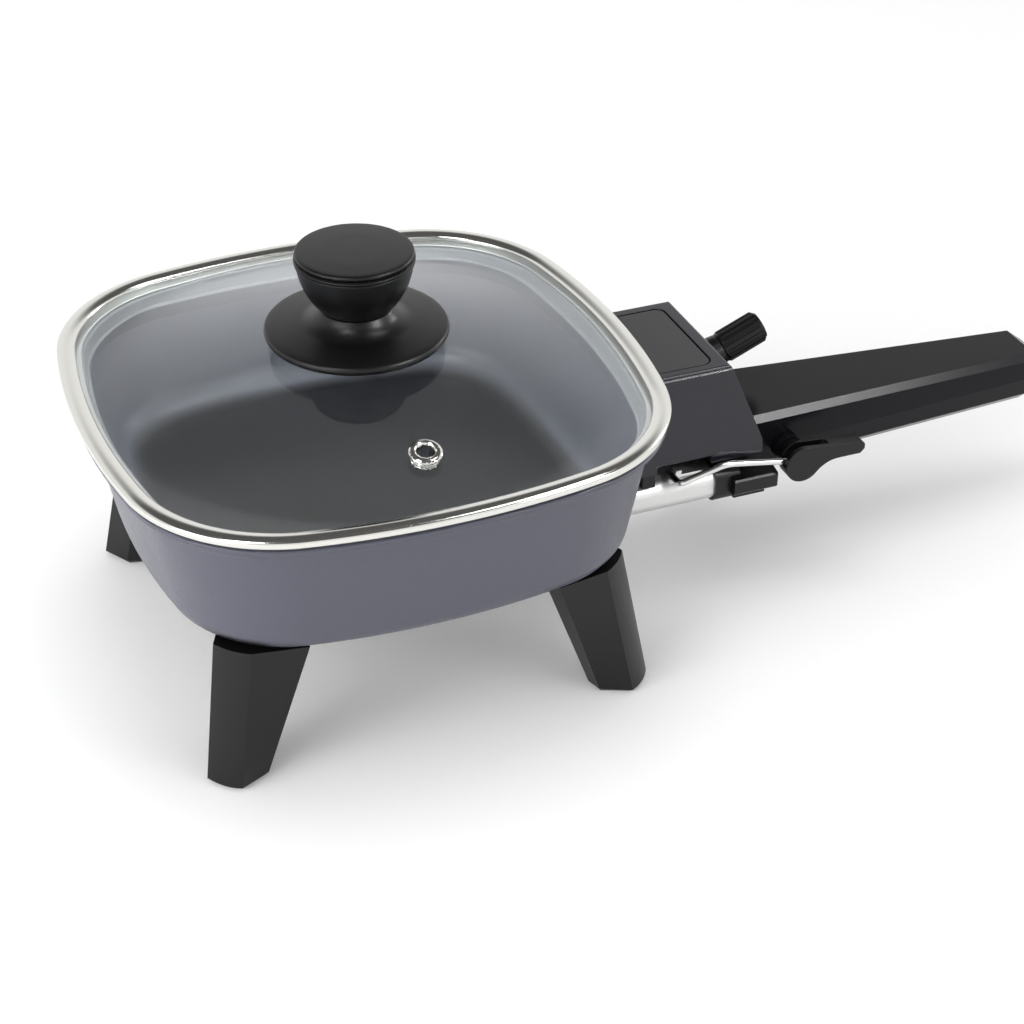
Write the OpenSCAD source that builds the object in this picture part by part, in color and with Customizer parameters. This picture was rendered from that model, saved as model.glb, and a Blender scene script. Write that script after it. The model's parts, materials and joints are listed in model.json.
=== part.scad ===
// Personal electric skillet: a small square pan on four legs, with a lift-off glass lid,
// and a plug-in thermostat handle that an over-centre wire latch draws onto the pan.
// +X runs from the pan to the handle's end and +Z is up. Heights are measured from a datum that the
// feet reach below: place() sets the feet on z = 0.

/* [Lid and pan outline] */
// Half width of the lid's rim across the flats
half_w = 84; // [83:0.5:86]
// Bow of the sides: a larger value gives flatter sides and smaller corners
bow = 3; // [2.5:0.1:3.3]

/* [Heights] */
// Underside of the pan's floor
pan_z = 40.7; // [40:0.1:41.2]
// Top of the pan's outer lip
lip_z = 83.3; // [82.5:0.1:84]
// Thickness of the pan's floor
floor_t = 3.5; // [3:0.1:4]
// How far the feet reach below the datum
drop = 2; // [0:0.5:4]

/* [Lid] */
// Height of the steel rim band
rim_h = 3.3; // [3.2:0.1:4]
// Thickness of the lid's glass
glass_t = 3.2; // [2.8:0.1:3.2]
// Rise of the dome above the glass's flat edge
dome_rise = 12.6; // [11:0.2:13]
// Distance of the steam vent from the lid's centre
vent_y = 57; // [50:1:62]
// Radius of the knob's skirt
skirt_r = 27; // [25:0.5:29]
// Radius of the knob's top
knob_r = 17.2; // [16:0.2:18]

/* [Legs] */
// Distance from the centre to the leg's outer corners at the floor
leg_foot_r = 92; // [90:0.5:94]
// Distance from the centre to the leg's outer corners at the top
leg_top_r = 82.2; // [81:0.2:84]
// Width of the leg's outer face at the floor
leg_foot_w = 11.4; // [10:0.2:13]
// Width of the leg's outer face at the top
leg_top_w = 12.2; // [11:0.2:14]

/* [Control unit] */
// Half width of the control housing
house_hw = 23; // [22.5:0.1:23.4]
// Top of the control housing
house_z = 76; // [75:0.2:76.4]
// Lean of the housing's end face from the vertical
face_lean = 23; // [21:0.5:25]
// Distance of the dial's axis from the middle plane
dial_y = 11; // [9:0.5:12]
// Radius of the dial
dial_r = 5.3; // [5:0.1:5.5]

/* [Handle] */
// Where the handle's shells end
handle_end = 238; // [220:1:238]
// Half width of the handle at the housing
handle_hw = 16.9; // [16.5:0.1:17]
// Bore of the cord inlet
cord_r = 3.2; // [3:0.1:3.4]

/* [Latch] */
// Radius of the bail's wire
wire_r = 1.1; // [1:0.05:1.15]
// Throw of the bail's pivot from the lever's axis
latch_throw = 3; // [2.8:0.1:3.2]

/* [Hidden] */
$fn = 96;
// The whole part is 328 mm long, from the lid's rim to the cord inlet: this puts its middle at x = 0
pan_x = -80;
gap = 0.3;
joint_r = 0.06;

// Each side's arc meets the corner's arc on a line that rises 11 in 60, the slope of a 60-11-61
// triangle, so that both centres are round numbers and serve at every inset
run_x = 60;
run_y = 11;
run_l = 61;
side_r = half_w + (run_x - run_y) * bow;
corner_r = side_r - run_l * bow;
side_c = half_w - side_r;
corner_c = run_y * bow;
far = 12;

// Pan
wall_top = 5.2;
wall_foot = 10.9;
foot_fillet = 8;
inner_fillet = 11;
rest_z = lip_z - 1.3;
plate_in = 26;
boss_at = 72;
boss_r = 5;
boss_z = 35;
ring_in = 42;
ring_z = pan_z - 1.5;
tube_r = 3.2;
lead_y = 10;
plug_z = 32;

// Lid
rim_z = rest_z + 0.3;
band_z = lip_z + 0.8;
rim_top = band_z + rim_h;
glass_z = rim_z + 0.55;
glass_in = 3.2;
glass_top = glass_z + glass_t;
dome_r = 79;
dome_p = 1.35;
dome_n = 26;
apex_z = glass_top + dome_rise;
seat_z = apex_z + 0.9;
neck_z = seat_z + 8.2;
neck_r = 10.4;
gasket_r = 11;
knob_z = neck_z + 17.9;
bowl_z = knob_z - 0.7;
bowl_h = (bowl_z - neck_z) / sqrt(1 - pow(neck_r / knob_r, 2));
bowl_a = -acos(neck_r / knob_r);
cap_t = 1.8;
grip_l = 8;
vent_z = dome_z(vent_y);
vent_tilt = atan((dome_z(vent_y - 2) - dome_z(vent_y + 2)) / 4);
vent_hole = 2.3;
screw_r = 2;
washer_r = 7;
washer_z = dome_z(washer_r) - glass_t - 1.2;

// Guard and control unit
guard_hw = 22;
guard_lo = 26.6;
guard_hi = 37.4;
guard_x0 = 72;
guard_x1 = 111.5;
tongue_x0 = 56;
tongue_y = 17;
sheet_t = 1.2;
shroud_x0 = 109.5;
shroud_x1 = 118;
shroud_lo = 25.6;
cheek_in = 17.6;
ledge_x0 = 114.8;
ledge_x1 = 130;
ledge_z = 29.2;
tongue_hw = 9;
tongue_end = 156;
tongue_z = 38.3;
tongue_t = 3;
house_x0 = 82.8;
house_x1 = 112.5;
house_lo = 42.2;
base_top = 44;
shell_t = 2;
slot_x0 = 88.4;
slot_x1 = 107;
slot_y = -16.6;
slot_top = 44.9;
panel_x1 = 107.5;
panel_hw = 18.4;
panel_deep = 1.2;
shaft_r = 3;
shaft_z0 = -15;
shaft_z1 = 12;
bush_r = 4.6;
collar_l = 6.8;
dial_z0 = collar_l + gap;
dial_z1 = 21.7;
boss_x = 93;
boss_y = 12;
face_z = 58.9;
face_x = house_x1 + (house_z - face_z) * tan(face_lean);

// Handle
root_x = 118.3;
taper = 0.062;
top_fall = 0.028;
root_top = 51;
seam_z = 38.2;
handle_lo = 27.8;
handle_t = 2;
clamp_x = 150;
screw_x = 215;
post_r = 3.4;
wires_x0 = 118.4;
wires_x1 = 140;
wires_y = 5;
lead_r = 1.1;

// Latch
lever_x = 137.2;
lever_z = 37.9;
lever_front = -28.6;
lever_back = -23.2;
hub_r = 6.1;
tail_l = 21.8;
pivot_y = -19.1;
pivot_r = 4.6;
wire_y = -25.6;
lever_pin_r = 1.6;
lever_turn = 120;
pin_head = -24.15;
bail_end = -28.1;
throw_a = -10;
bail_x = lever_x + latch_throw * cos(throw_a);
bail_z = lever_z + latch_throw * sin(throw_a);
knee_x = 111;
knee_z = 42.6;
hook_x = 95;
wire_a = 180 - atan((knee_z - bail_z) / (bail_x - knee_x));
hook_z = guard_hi + wire_r + joint_r + gap;
hook_end = -17.4;
hook_y = -20;
run = 0.05;

function arc(cx, cz, r, a0, a1, n) =
    [for (i = [0:n]) [cx + r * cos(a0 + (a1 - a0) * i / n), cz + r * sin(a0 + (a1 - a0) * i / n)]];

// Height of the dome's outer face at a distance from the centre
function dome_z(r) = glass_top + dome_rise * pow(max(0, 1 - pow(r / dome_r, 2)), dome_p);

function handle_w(x) = handle_hw - taper * (x - root_x);
function handle_top(x) = root_top - top_fall * (x - root_x);

// Everything is drawn about the pan's centre and moved as one
module place() {
    translate([pan_x, 0, drop]) children();
}

// ---- Outline of the pan and lid ----

module side_wedge() {
    translate([side_c, 0]) polygon([[0, 0], [run_x * far, -run_y * far], [run_x * far, run_y * far]]);
}

module corner_wedge() {
    translate([corner_c, corner_c]) polygon([
        [0, 0], [run_x * far, run_y * far], [run_x * far, run_x * far], [run_y * far, run_x * far]
    ]);
}

module outline(inset) {
    difference() {
        intersection() {
            translate([side_c, 0]) circle(side_r - inset, $fn = 360);
            translate([-side_c, 0]) circle(side_r - inset, $fn = 360);
            translate([0, side_c]) circle(side_r - inset, $fn = 360);
            translate([0, -side_c]) circle(side_r - inset, $fn = 360);
        }
        for (k = [0:3]) rotate(90 * k) difference() {
            corner_wedge();
            translate([corner_c, corner_c]) circle(corner_r - inset);
        }
    }
}

// Carries a profile round the outline: its x is minus the inset, its y is the height
module sweep() {
    for (k = [0:3]) rotate(90 * k) {
        intersection() {
            translate([side_c, 0, 0]) rotate_extrude($fn = 360) translate([side_r, 0]) children();
            linear_extrude(2 * half_w) side_wedge();
        }
        intersection() {
            translate([corner_c, corner_c, 0]) rotate_extrude() translate([corner_r, 0]) children();
            linear_extrude(2 * half_w) corner_wedge();
        }
    }
}

// Rod between two points in a plane of constant y
module rod_xz(x0, z0, x1, z1, r) {
    long = sqrt(pow(x1 - x0, 2) + pow(z1 - z0, 2));
    translate([x0, 0, z0]) rotate([0, atan2(x1 - x0, z1 - z0), 0]) cylinder(h = long, r = r);
}

// Rounds a joint between two rods of radius r
module knuckle(x, z, r) {
    translate([x, 0, z]) sphere(r + joint_r);
}

module along_x(x0, x1, r) {
    translate([x0, 0, 0]) rotate([0, 90, 0]) cylinder(h = x1 - x0, r = r);
}

module along_y(y0, y1, r) {
    rotate([-90, 0, 0]) translate([0, 0, y0]) cylinder(h = y1 - y0, r = r);
}

// ---- Pan ----

module wall_profile() {
    z0 = pan_z;
    foot_c = -wall_foot - foot_fillet;
    inner_c = -wall_foot - 2.9 - inner_fillet;
    polygon(concat(
        [[-plate_in, z0 + floor_t], [-plate_in, z0]],
        arc(foot_c, z0 + foot_fillet, foot_fillet, 270, 350, 9),
        arc(-wall_top + 4.4, lip_z - 6.6, 4.6, 176, 112, 5),
        [[-1.4, lip_z - 1.9], [-1, lip_z - 1.5], [-1, lip_z - 0.4], [-1.4, lip_z], [-2.2, lip_z]],
        [[-2.4, lip_z - 0.2], [-2.4, rest_z], [-7.7, rest_z], [-8.1, rest_z - 0.6]],
        [[-wall_top - 3.2, lip_z - 5]],
        arc(inner_c, z0 + floor_t + inner_fillet, inner_fillet, 350, 270, 9)
    ));
}

module leg_places() {
    for (k = [0:3]) rotate(45 + 90 * k) translate([boss_at, 0, 0]) children();
}

module element_path(r, pad) {
    difference() {
        sweep() translate([-ring_in, ring_z]) circle(r);
        translate([half_w - ring_in - 8, -lead_y, ring_z - 6]) cube([16, 2 * lead_y, 12]);
    }
    for (s = [-1, 1]) translate([0, s * lead_y, 0]) {
        translate([0, 0, ring_z]) along_x(half_w - ring_in - 1.5, 56, r);
        rod_xz(56, ring_z, 66, plug_z, r);
        knuckle(56, ring_z, r);
        knuckle(66, plug_z, r);
        translate([0, 0, plug_z]) along_x(66, 88 + pad, r);
    }
}

module pan() color("slategray") difference() {
    union() {
        sweep() wall_profile();
        translate([0, 0, pan_z]) linear_extrude(floor_t) outline(plate_in - 1);
        sweep() translate([-ring_in - 5.5, pan_z - 2.5]) square([11, 3]);
        leg_places() translate([0, 0, boss_z]) cylinder(h = pan_z - boss_z + 1, r = boss_r);
        for (s = [-1, 1]) translate([tongue_x0 - 1, s * tongue_y - 3.4, guard_hi])
            cube([15, 6.8, pan_z - guard_hi + 1]);
        translate([46, -5, plug_z]) cube([20, 10, pan_z - plug_z + 1]);
        translate([0, 0, plug_z]) along_x(46, 66, 5);
    }
    element_path(tube_r + run, 0);
    translate([0, 0, plug_z]) along_x(50, 67, 3.1);
    leg_places() translate([0, 0, boss_z - 1]) cylinder(h = 8, r = 1.8);
    for (s = [-1, 1]) translate([tongue_x0 + 6, s * tongue_y, guard_hi - 1]) cylinder(h = 6, r = 1.5);
}

module heating_element() color("dimgray") union() {
    element_path(tube_r, 0);
    for (s = [-1, 1]) translate([0, s * lead_y, plug_z]) {
        along_x(88, 115.2, 2);
        translate([115.2, 0, 0]) sphere(2);
    }
}

// Flattened sleeve round the element's pins, hung from the pan by two tongues
module guard_section(grow) {
    r = 4 + grow;
    for (sy = [-1, 1], sz = [-1, 1])
        translate([sz * ((guard_hi - guard_lo) / 2 - 4), sy * (guard_hw - 4)]) circle(r);
    square([guard_hi - guard_lo - 8, 2 * (guard_hw + grow)], center = true);
    square([guard_hi - guard_lo + 2 * grow, 2 * (guard_hw - 4)], center = true);
}

module guard_bar(x0, x1, grow) {
    translate([x0, 0, (guard_lo + guard_hi) / 2]) rotate([0, 90, 0])
        linear_extrude(x1 - x0) guard_section(grow);
}

module terminal_guard() color("silver") difference() {
    union() {
        difference() {
            guard_bar(guard_x0, guard_x1, 0);
            guard_bar(guard_x0 - 1, guard_x1 + 1, -sheet_t);
        }
        for (s = [-1, 1]) translate([tongue_x0, s * tongue_y - 3.4, guard_hi - sheet_t])
            cube([guard_x0 - tongue_x0 + 1, 6.8, sheet_t]);
    }
    for (s = [-1, 1]) translate([tongue_x0 + 6, s * tongue_y, guard_hi - 2]) cylinder(h = 3, r = 1.7);
}

// Pan-head screw that points up, its head's seat at z = 0
module screw(shank_r, shank_l, head_r, head_h) {
    translate([0, 0, -0.4 * head_h]) cylinder(h = shank_l + 0.4 * head_h, r = shank_r);
    translate([0, 0, -head_h]) difference() {
        cylinder(h = head_h, r = head_r);
        for (a = [0, 90]) rotate(a)
            translate([-0.35, -0.75 * head_r, -1]) cube([0.7, 1.5 * head_r, 1 + head_h * 0.5]);
    }
}

module guard_screws() color("gray") for (s = [-1, 1])
    translate([tongue_x0 + 6, s * tongue_y, guard_hi - sheet_t]) screw(1.45, 6, 2.9, 2);

// Lug on the guard that the bail's hooked end pulls against
module latch_hook() color("silver") {
    x = hook_x + wire_r + 0.36;
    translate([x, hook_y, guard_hi]) cube([2, hook_end - hook_y, 2.4]);
    translate([x, hook_y, guard_hi]) cube([9, 6, 0.9]);
}

// ---- Legs ----

// Section of a leg: a bulged outer face, two flanks that spread inwards and a narrower back
function leg_section(p, w, side, spread, flank, back, bulge, cut) =
    let (h = w / 2 - cut, r = (h * h + bulge * bulge) / (2 * bulge), a = asin(h / r),
         x1 = p - flank, x2 = x1 - back + cut)
    concat(
        [[x2, cut - 0.75 * side], [x1, cut - side]],
        [for (i = [0:12]) [p - cut + bulge - r + r * cos(a * (i / 6 - 1)), r * sin(a * (i / 6 - 1))]],
        [[x1, spread - cut], [x2, 0.75 * spread - cut]]
    );

module leg_slice(z, p, w, side, spread, back, cut = 0) {
    translate([0, 0, z]) linear_extrude(0.02)
        polygon(leg_section(p, w, side, spread, 9.5, back, 1.8, cut));
}

// One flank widens towards the top: it's the one that lies along the pan's front or rear
module leg() color([0.16, 0.16, 0.17]) difference() {
    hull() {
        leg_slice(-drop, leg_foot_r, leg_foot_w, 7.6, 8.8, 4.4, 1.2);
        leg_slice(1.4 - drop, leg_foot_r - 0.3, leg_foot_w, 7.9, 9.1, 4.4);
        leg_slice(pan_z - 0.05, leg_top_r, leg_top_w, 9.5, 19.3, 8);
    }
    translate([boss_at, 0, boss_z - 0.3]) cylinder(h = 20, r = boss_r + 0.15);
    translate([boss_at, 0, boss_z - 4]) cylinder(h = 6, r = 2.1);
    translate([boss_at, 0, -1]) cylinder(h = boss_z - 2, r = 3.9);
}

module leg_front_left() rotate(225) leg();
module leg_front_right() rotate(315) mirror([0, 1, 0]) leg();
module leg_rear_left() rotate(135) mirror([0, 1, 0]) leg();
module leg_rear_right() rotate(45) leg();

module leg_screws() color("gray") leg_places() translate([0, 0, boss_z - 3]) screw(1.75, 9.5, 3.4, 2.4);

// ---- Lid ----

// Steel band rolled round the glass's edge: a bead, a groove and a ridge on top, and below them a
// step that nests inside the pan's lip
module rim_profile() {
    polygon([
        [-2.8, rim_z], [-2.8, band_z], [-0.6, band_z], [-0.15, band_z + 0.3], [0, band_z + 0.9],
        [0, rim_top - 1], [-0.2, rim_top - 0.4], [-0.6, rim_top - 0.05], [-1.1, rim_top],
        [-1.6, rim_top - 0.15], [-2.1, rim_top - 0.6], [-2.4, glass_top + 0.4], [-3.2, glass_top + 0.4],
        [-3.6, glass_top + 0.8], [-4.2, glass_top + 1], [-4.9, glass_top + 0.85],
        [-5.4, glass_top + 0.4], [-5.5, glass_top + 0.05],
        [0.05 - glass_in, glass_top + 0.05], [0.05 - glass_in, glass_z - 0.05], [-7, glass_z - 0.05],
        [-7.2, glass_z - 0.25], [-7, rim_z]
    ]);
}

module lid_rim() color("gainsboro") sweep() rim_profile();

module lid_glass() color([0.85, 0.92, 0.92, 0.35]) difference() {
    intersection() {
        rotate_extrude() polygon(concat(
            [for (i = [0:dome_n]) let (r = dome_r * i / dome_n) [r, dome_z(r)]],
            [[120, glass_top], [120, glass_z]],
            [for (i = [dome_n:-1:0]) let (r = (dome_r - 1) * i / dome_n)
                [r, glass_z + (dome_z(r * dome_r / (dome_r - 1)) - glass_top)]]
        ));
        translate([0, 0, glass_z - 1]) linear_extrude(dome_rise + 10) outline(glass_in);
    }
    translate([0, 0, glass_z]) cylinder(h = dome_rise + 10, r = screw_r + 1.2);
    at_vent() translate([0, 0, -12]) cylinder(h = 24, r = vent_hole + 0.75);
}

module at_vent() {
    translate([0, -vent_y, vent_z]) rotate([vent_tilt, 0, 0]) children();
}

// Rolled eyelet through the glass
module steam_vent() color("gainsboro") at_vent() rotate_extrude() polygon(concat(
    [[vent_hole, -glass_t - 0.9]],
    arc(vent_hole + 1.1, 0.35, 1.1, 180, 60, 5),
    [[4.6, 0.9], [4.8, 0.5], [4.7, 0.2], [vent_hole + 0.7, 0.2]],
    [[vent_hole + 0.7, -glass_t - 0.1], [4, -glass_t - 0.2], [4, -glass_t - 0.9]]
));

// Soft ring that follows the dome on one side and carries the skirt on the other
module knob_gasket() color([0.75, 0.75, 0.75]) rotate_extrude() polygon(concat(
    [for (i = [0:4]) let (r = screw_r + 1.4 + (gasket_r - screw_r - 1.4) * i / 4) [r, dome_z(r) + 0.02]],
    [[gasket_r, seat_z], [screw_r + 1.4, seat_z]]
));

// Heat shield under the grip, flared up into its neck
module knob_skirt() color([0.13, 0.13, 0.14]) rotate_extrude() polygon(concat(
    [[screw_r + 0.2, seat_z], [gasket_r + 0.5, seat_z], [skirt_r - 1.6, seat_z - 0.4]],
    arc(skirt_r - 1.5, seat_z + 1.1, 1.5, 270, 420, 8),
    [[17.6, seat_z + 3.6]],
    arc(17.6, seat_z + 11.1, 7.5, 262, 204, 7),
    [[neck_r, neck_z], [screw_r + 0.2, neck_z]]
));

// Bowl-shaped grip with two fine beads under its top
module lid_knob() color([0.13, 0.13, 0.14]) difference() {
    rotate_extrude() polygon(concat(
        [[0, neck_z]],
        [for (i = [0:12]) let (a = bowl_a * (1 - i / 13)) [knob_r * cos(a), bowl_z + bowl_h * sin(a)]],
        [[knob_r + 0.1, knob_z - cap_t - 0.4], [knob_r - 0.2, knob_z - cap_t], [0, knob_z - cap_t]]
    ));
    translate([0, 0, neck_z - 1]) cylinder(h = grip_l + 1, r = screw_r - 0.17);
}

module knob_cap() color([0.16, 0.16, 0.17]) rotate_extrude() polygon(concat(
    [[0, knob_z - cap_t], [knob_r - 0.5, knob_z - cap_t]],
    arc(knob_r - 0.9, knob_z - 0.9, 0.9, -60, 80, 6),
    [[10, knob_z + 0.25], [0, knob_z + 0.35]]
));

module lid_washer() color("silver") translate([0, 0, washer_z]) difference() {
    cylinder(h = 1.2, r = washer_r);
    translate([0, 0, -1]) cylinder(h = 4, r = screw_r + 0.3);
}

module lid_screw() color("gray")
    translate([0, 0, washer_z]) screw(screw_r - 0.2, neck_z + grip_l - 1 - washer_z, 4.4, 2.2);

// ---- Control unit ----

// Socket that slips over the guard's end, with a finger ledge on each side, a neck under the housing
// and a tongue that the handle's shells are clamped on
module plug_shroud() color([0.12, 0.12, 0.13]) difference() {
    union() {
        guard_bar(shroud_x0, shroud_x1, 1);
        for (s = [0, 1]) mirror([0, s, 0]) {
            translate([shroud_x1 - 1, cheek_in, shroud_lo]) cube([11, guard_hw - 1 - cheek_in, 10]);
            translate([ledge_x0, guard_hw - 1, ledge_z]) ledge();
        }
        translate([shroud_x0, -15, guard_hi]) cube([shroud_x1 - shroud_x0, 30, house_lo - guard_hi]);
        translate([shroud_x1 - 1, -tongue_hw, tongue_z])
            cube([tongue_end - shroud_x1 + 1, 2 * tongue_hw, tongue_t]);
    }
    translate([clamp_x, 0, tongue_z - 1]) cylinder(h = 6, r = 1.6);
    guard_bar(shroud_x0 - 1, guard_x1 + gap, gap);
    for (y = [-lead_y, lead_y]) translate([0, y, plug_z]) along_x(110, 119, 3.3);
    translate([0, 0, plug_z]) along_x(110, 119, 3.05);
}

module ledge() {
    rotate([90, 0, 90]) linear_extrude(ledge_x1 - ledge_x0)
        polygon([[0, 0], [3.6, 0], [4.5, 0.9], [4.5, 5.2], [4, 5.8], [0, 6.6]]);
}

module socket_contacts() color("goldenrod") for (s = [-1, 1])
    translate([0, s * lead_y, plug_z]) difference() {
        along_x(guard_x1 + 0.9, shroud_x1 + 0.2, 3.25);
        along_x(guard_x1, shroud_x1 - 0.5, 2.05);
    }

module on_dial() {
    translate([face_x, dial_y, face_z]) rotate([0, 90 - face_lean, 0]) children();
}

module thermostat_body() color("peru") on_dial() difference() {
    union() {
        translate([-8, -8, -17]) cube([14, 16, 13]);
        translate([0, 0, -19]) cylinder(h = 4, r = 5);
    }
    translate([0, 0, shaft_z0 - gap]) cylinder(h = 20, r = shaft_r + run);
}

module thermostat_probe() color("silver") {
    translate([0, 0, plug_z]) {
        along_x(54, shroud_x1, 3);
        translate([54, 0, 0]) sphere(3);
    }
}

module house_side(grow) {
    low = house_lo;
    x1 = house_x1 + grow;
    foot_x = house_x1 + (house_z - 51) * tan(face_lean) + grow;
    polygon(concat(
        [[house_x0 - grow, low], [house_x0 - grow, house_z + grow]],
        arc(x1 - 1.2, house_z + grow - 1.2, 1.2, 90, 25, 4),
        [[foot_x, 51], [foot_x + 1.6, 47.4], [foot_x + 2, 44.4], [foot_x + 2, low]]
    ));
}

module house_solid(grow, bevel) {
    hw = house_hw + grow;
    top = house_z + grow;
    intersection() {
        rotate([90, 0, 0]) translate([0, 0, -hw]) linear_extrude(2 * hw) house_side(grow);
        translate([house_x0 - 5, 0, 0]) rotate([90, 0, 90]) linear_extrude(60)
            polygon([
                [-hw, 40], [hw, 40], [hw, top - bevel], [hw - bevel * 0.4, top - bevel * 0.4],
                [hw - bevel, top], [-hw + bevel, top], [-hw + bevel * 0.4, top - bevel * 0.4],
                [-hw, top - bevel]
            ]);
    }
}

module panel_shape(grow) {
    x0 = house_x0 + 2;
    r = 3 + grow;
    for (s = [-1, 1]) translate([panel_x1 - 3, s * (panel_hw - 3)]) circle(r);
    translate([x0 - grow, -panel_hw + 3]) square([panel_x1 - x0 + 2 * grow, 2 * panel_hw - 6]);
    translate([x0 - grow, -panel_hw - grow]) square([panel_x1 - 3 - x0 + grow, 2 * (panel_hw + grow)]);
}

// Hollow cover, open below, with a recess for the panel and two screw bosses
module housing_shell() color([0.2, 0.19, 0.22]) difference() {
    house_solid(0, 1.4);
    difference() {
        translate([0, 0, -0.01]) house_solid(-shell_t, 0.6);
        translate([house_x0, -house_hw, house_z - 3.4]) cube([30, 2 * house_hw, 3]);
        for (s = [-1, 1]) translate([boss_x, s * boss_y, base_top]) difference() {
            cylinder(h = house_z - base_top - 1, r = 3.4);
            translate([0, 0, -1]) cylinder(h = 9, r = 1.6);
        }
    }
    translate([0, 0, house_z - panel_deep]) linear_extrude(2) panel_shape(0.55);
    translate([slot_x0, -house_hw - 1, house_lo - 1]) cube([slot_x1 - slot_x0, 6, slot_top - house_lo + 1]);
    translate([root_x - 8, -handle_hw - 0.4, house_lo - 1])
        cube([20, 2 * handle_hw + 0.8, root_top - house_lo + 1.4]);
    on_dial() translate([0, 0, -8]) cylinder(h = 12, r = bush_r + run);
}

module top_panel() color([0.33, 0.32, 0.34])
    translate([0, 0, house_z - panel_deep]) linear_extrude(panel_deep - 0.1) panel_shape(0);

// Floor of the housing, with the foot that stands on the guard
module housing_base() color([0.12, 0.12, 0.13]) difference() {
    union() {
        translate([house_x0 + 2.3, -house_hw + 2.3, house_lo])
            cube([30, 2 * house_hw - 4.6, base_top - house_lo]);
        translate([house_x0 + 1, -house_hw + 0.6, guard_hi + 0.1])
            cube([4.4, 2 * house_hw - 1.2, house_lo - guard_hi - 0.1]);
        translate([house_x0 + 5, -16, house_lo - 1.6]) cube([shroud_x0 - house_x0 - 5.2, 32, 2]);
    }
    translate([slot_x0, -house_hw, guard_hi]) cube([slot_x1 - slot_x0, house_hw + slot_y, 10]);
    for (s = [-1, 1]) translate([boss_x, s * boss_y, house_lo - 3]) cylinder(h = 6, r = 1.7);
}

module housing_screws() color("gray") for (s = [-1, 1])
    translate([boss_x, s * boss_y, house_lo - 1.6]) screw(1.55, 9, 2.8, 1.8);

// ---- Dial ----

module dial_shaft() color("gray") on_dial()
    translate([0, 0, shaft_z0]) cylinder(h = shaft_z1 - shaft_z0, r = shaft_r);

// Fixed bush that the shaft turns in, flared where it meets the housing
module dial_collar() color([0.12, 0.12, 0.13]) on_dial() rotate_extrude() polygon([
    [shaft_r + run, -4], [shaft_r + run, collar_l], [4.9, collar_l], [5.4, 3.6], [6.6, 1.2],
    [7, 0.7], [7, 0.05], [bush_r, 0.05], [bush_r, -4]
]);

module dial_knob() color([0.12, 0.12, 0.13]) on_dial() difference() {
    union() {
        translate([0, 0, dial_z0]) cylinder(h = dial_z1 - dial_z0 - 0.7, r = dial_r - 0.35);
        translate([0, 0, dial_z0]) cylinder(h = dial_z1 - dial_z0, r = dial_r - 0.9);
        for (k = [0:17]) rotate(20 * k) translate([dial_r - 0.35, 0, dial_z0 + 0.6])
            cylinder(h = dial_z1 - dial_z0 - 1.6, r = 0.4, $fn = 16);
    }
    translate([0, 0, dial_z0 - 1]) cylinder(h = shaft_z1 - dial_z0 + 1.03, r = shaft_r + 0.03);
}

// ---- Handle ----

function handle_section(x, inset) =
    let (w = handle_w(x) - inset, t = handle_top(x) - inset, b = handle_lo + inset)
    [[-w + 6, b], [-w + 2.4, b + 3.6], [-w + 0.8, seam_z], [-w, t - 2.2], [-w + 1.8, t],
     [w - 1.8, t], [w, t - 2.2], [w - 0.8, seam_z], [w - 2.4, b + 3.6], [w - 6, b]];

module handle_slice(x, inset) {
    translate([x, 0, 0]) rotate([90, 0, 90]) linear_extrude(0.02) polygon(handle_section(x, inset));
}

module handle_solid(inset, x0, x1) {
    hull() {
        handle_slice(x0, inset);
        handle_slice(x1 - 4, inset);
        handle_slice(x1, inset + 2.6);
    }
}

module handle_hollow() {
    difference() {
        handle_solid(0, root_x, handle_end);
        handle_solid(handle_t, root_x - 1, handle_end - handle_t);
        translate([0, 0, plug_z + 4]) along_x(handle_end - 10, handle_end + 10, cord_r + 1.5);
    }
}

module handle_upper() color([0.17, 0.17, 0.19]) {
    difference() {
        handle_hollow();
        translate([100, -30, 0]) cube([160, 60, seam_z]);
        translate([lever_x, 0, lever_z]) along_y(pivot_y, -10, pivot_r + 0.1);
    }
    for (x = [clamp_x, screw_x]) let (z = x == clamp_x ? tongue_z + tongue_t : seam_z)
        translate([x, 0, z]) difference() {
            cylinder(h = handle_top(x) - z - 1, r = post_r);
            translate([0, 0, -1]) cylinder(h = 8, r = 1.3);
        }
}

module handle_lower() color([0.17, 0.17, 0.19]) {
    difference() {
        union() {
            intersection() {
                handle_hollow();
                translate([100, -30, 0]) cube([160, 60, seam_z]);
            }
            for (x = [clamp_x, screw_x]) translate([x, 0, handle_lo + 1])
                cylinder(h = seam_z - handle_lo - 1, r = post_r);
            translate([lever_x, 0, lever_z]) along_y(pivot_y, -12.8, pivot_r);
        }
        translate([lever_x, 0, lever_z]) along_y(pivot_y - 1, -12, lever_pin_r + 0.03);
        for (x = [clamp_x, screw_x]) translate([x, 0, handle_lo - 1]) {
            cylinder(h = 12, r = 1.6);
            cylinder(h = 3.2, r = 2.9);
        }
    }
}

module handle_screws() color("gray") for (x = [clamp_x, screw_x])
    translate([x, 0, handle_lo + 2.2]) screw(1.25, 14.8, 2.7, 1.6);

// Leads from the socket's contacts to the cord inlet, each with a crimped splice at its bend
module lead_wires() color("firebrick") for (s = [-1, 1]) {
    start_y = lead_y - 1;
    spread = start_y - wires_y;
    long = sqrt(spread * spread + pow(wires_x1 - wires_x0, 2) + 16);
    translate([wires_x0, s * start_y, plug_z])
        rotate([0, acos(4 / long), atan2(-s * spread, wires_x1 - wires_x0)])
            cylinder(h = long, r = lead_r);
    translate([wires_x1 - 2, s * wires_y - 1.9, plug_z + 2]) cube([5, 3.8, 4]);
    translate([0, s * wires_y, plug_z + 4]) along_x(wires_x1, 228, lead_r);
}

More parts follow.
